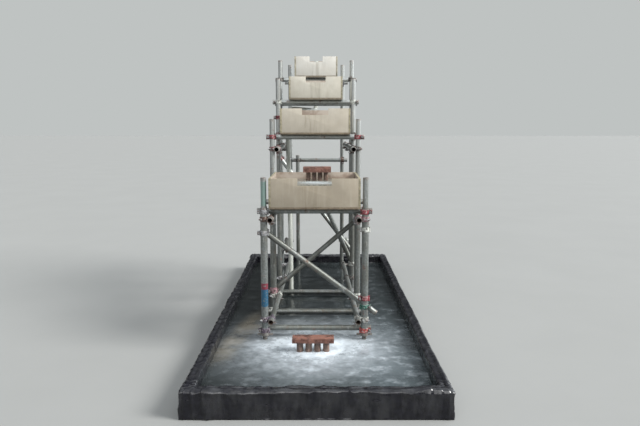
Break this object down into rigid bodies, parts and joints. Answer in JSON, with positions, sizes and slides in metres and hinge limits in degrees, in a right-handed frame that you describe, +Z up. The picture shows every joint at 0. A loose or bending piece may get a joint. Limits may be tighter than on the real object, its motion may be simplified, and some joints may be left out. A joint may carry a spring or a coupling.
{
  "type": "cascade fountain",
  "caption": "Stepped cascade fountain: open plywood basins on a scaffold tube tower that stands in a long lined pool, with a riser pipe to the top basin and splash benches",
  "frame": {"origin": "middle of the pool's underside, on the ground", "axes": "+X across the pool to the right as seen from the lowest basin, +Y along the pool from the lowest basin to the highest, +Z up"},
  "size_m": [1.85, 4.47, 2.745],
  "materials": {
    "liner": "black pool liner with soft folds, slightly shiny",
    "galvanised": "weathered galvanised scaffold tube with rust spots and old paint bands",
    "plywood": "grey-tan film-faced plywood with yellowish edges",
    "splash_board": "dull red-brown",
    "pipe": "pale grey pipe"
  },
  "bodies": {
    "root": {"basin_1_floor": "plywood", "basin_1_front": "plywood", "basin_1_walls": "plywood", "basin_2_floor": "plywood", "basin_2_front": "plywood", "basin_2_walls": "plywood", "basin_3_floor": "plywood", "basin_3_front": "plywood", "basin_3_walls": "plywood", "basin_4_floor": "plywood", "basin_4_front": "plywood", "basin_4_walls": "plywood", "bearer_basin_1_front": "galvanised", "bearer_basin_1_rear": "galvanised", "bearer_basin_2_front": "galvanised", "bearer_basin_2_rear": "galvanised", "bearer_basin_3_front": "galvanised", "bearer_basin_3_rear": "galvanised", "bearer_basin_4_front": "galvanised", "bearer_basin_4_rear": "galvanised", "brace_row_a": "galvanised", "brace_row_b": "galvanised", "brace_row_c": "galvanised", "brace_row_d": "galvanised", "kerb_back": "liner", "kerb_front": "liner", "kerb_left": "liner", "kerb_right": "liner", "ledger_base_left": "galvanised", "ledger_base_right": "galvanised", "ledger_tier_1_left": "galvanised", "ledger_tier_1_right": "galvanised", "ledger_tier_2_left": "galvanised", "ledger_tier_2_right": "galvanised", "pool_floor": "liner", "post_a_left": "galvanised", "post_a_right": "galvanised", "post_b_left": "galvanised", "post_b_right": "galvanised", "post_c_left": "galvanised", "post_c_right": "galvanised", "post_d_left": "galvanised", "post_d_right": "galvanised", "post_e_left": "galvanised", "post_e_right": "galvanised", "post_short_rear": "galvanised", "riser_pipe": "pipe", "splash_bench_basin": "splash_board", "splash_bench_pool": "splash_board", "tie_lower_left": "galvanised", "tie_lower_right": "galvanised", "tie_upper_left": "galvanised", "tie_upper_right": "galvanised", "transom_base_a": "galvanised", "transom_base_b": "galvanised", "transom_base_c": "galvanised", "transom_middle": "galvanised", "transom_rear": "galvanised"}
  },
  "joints": []
}
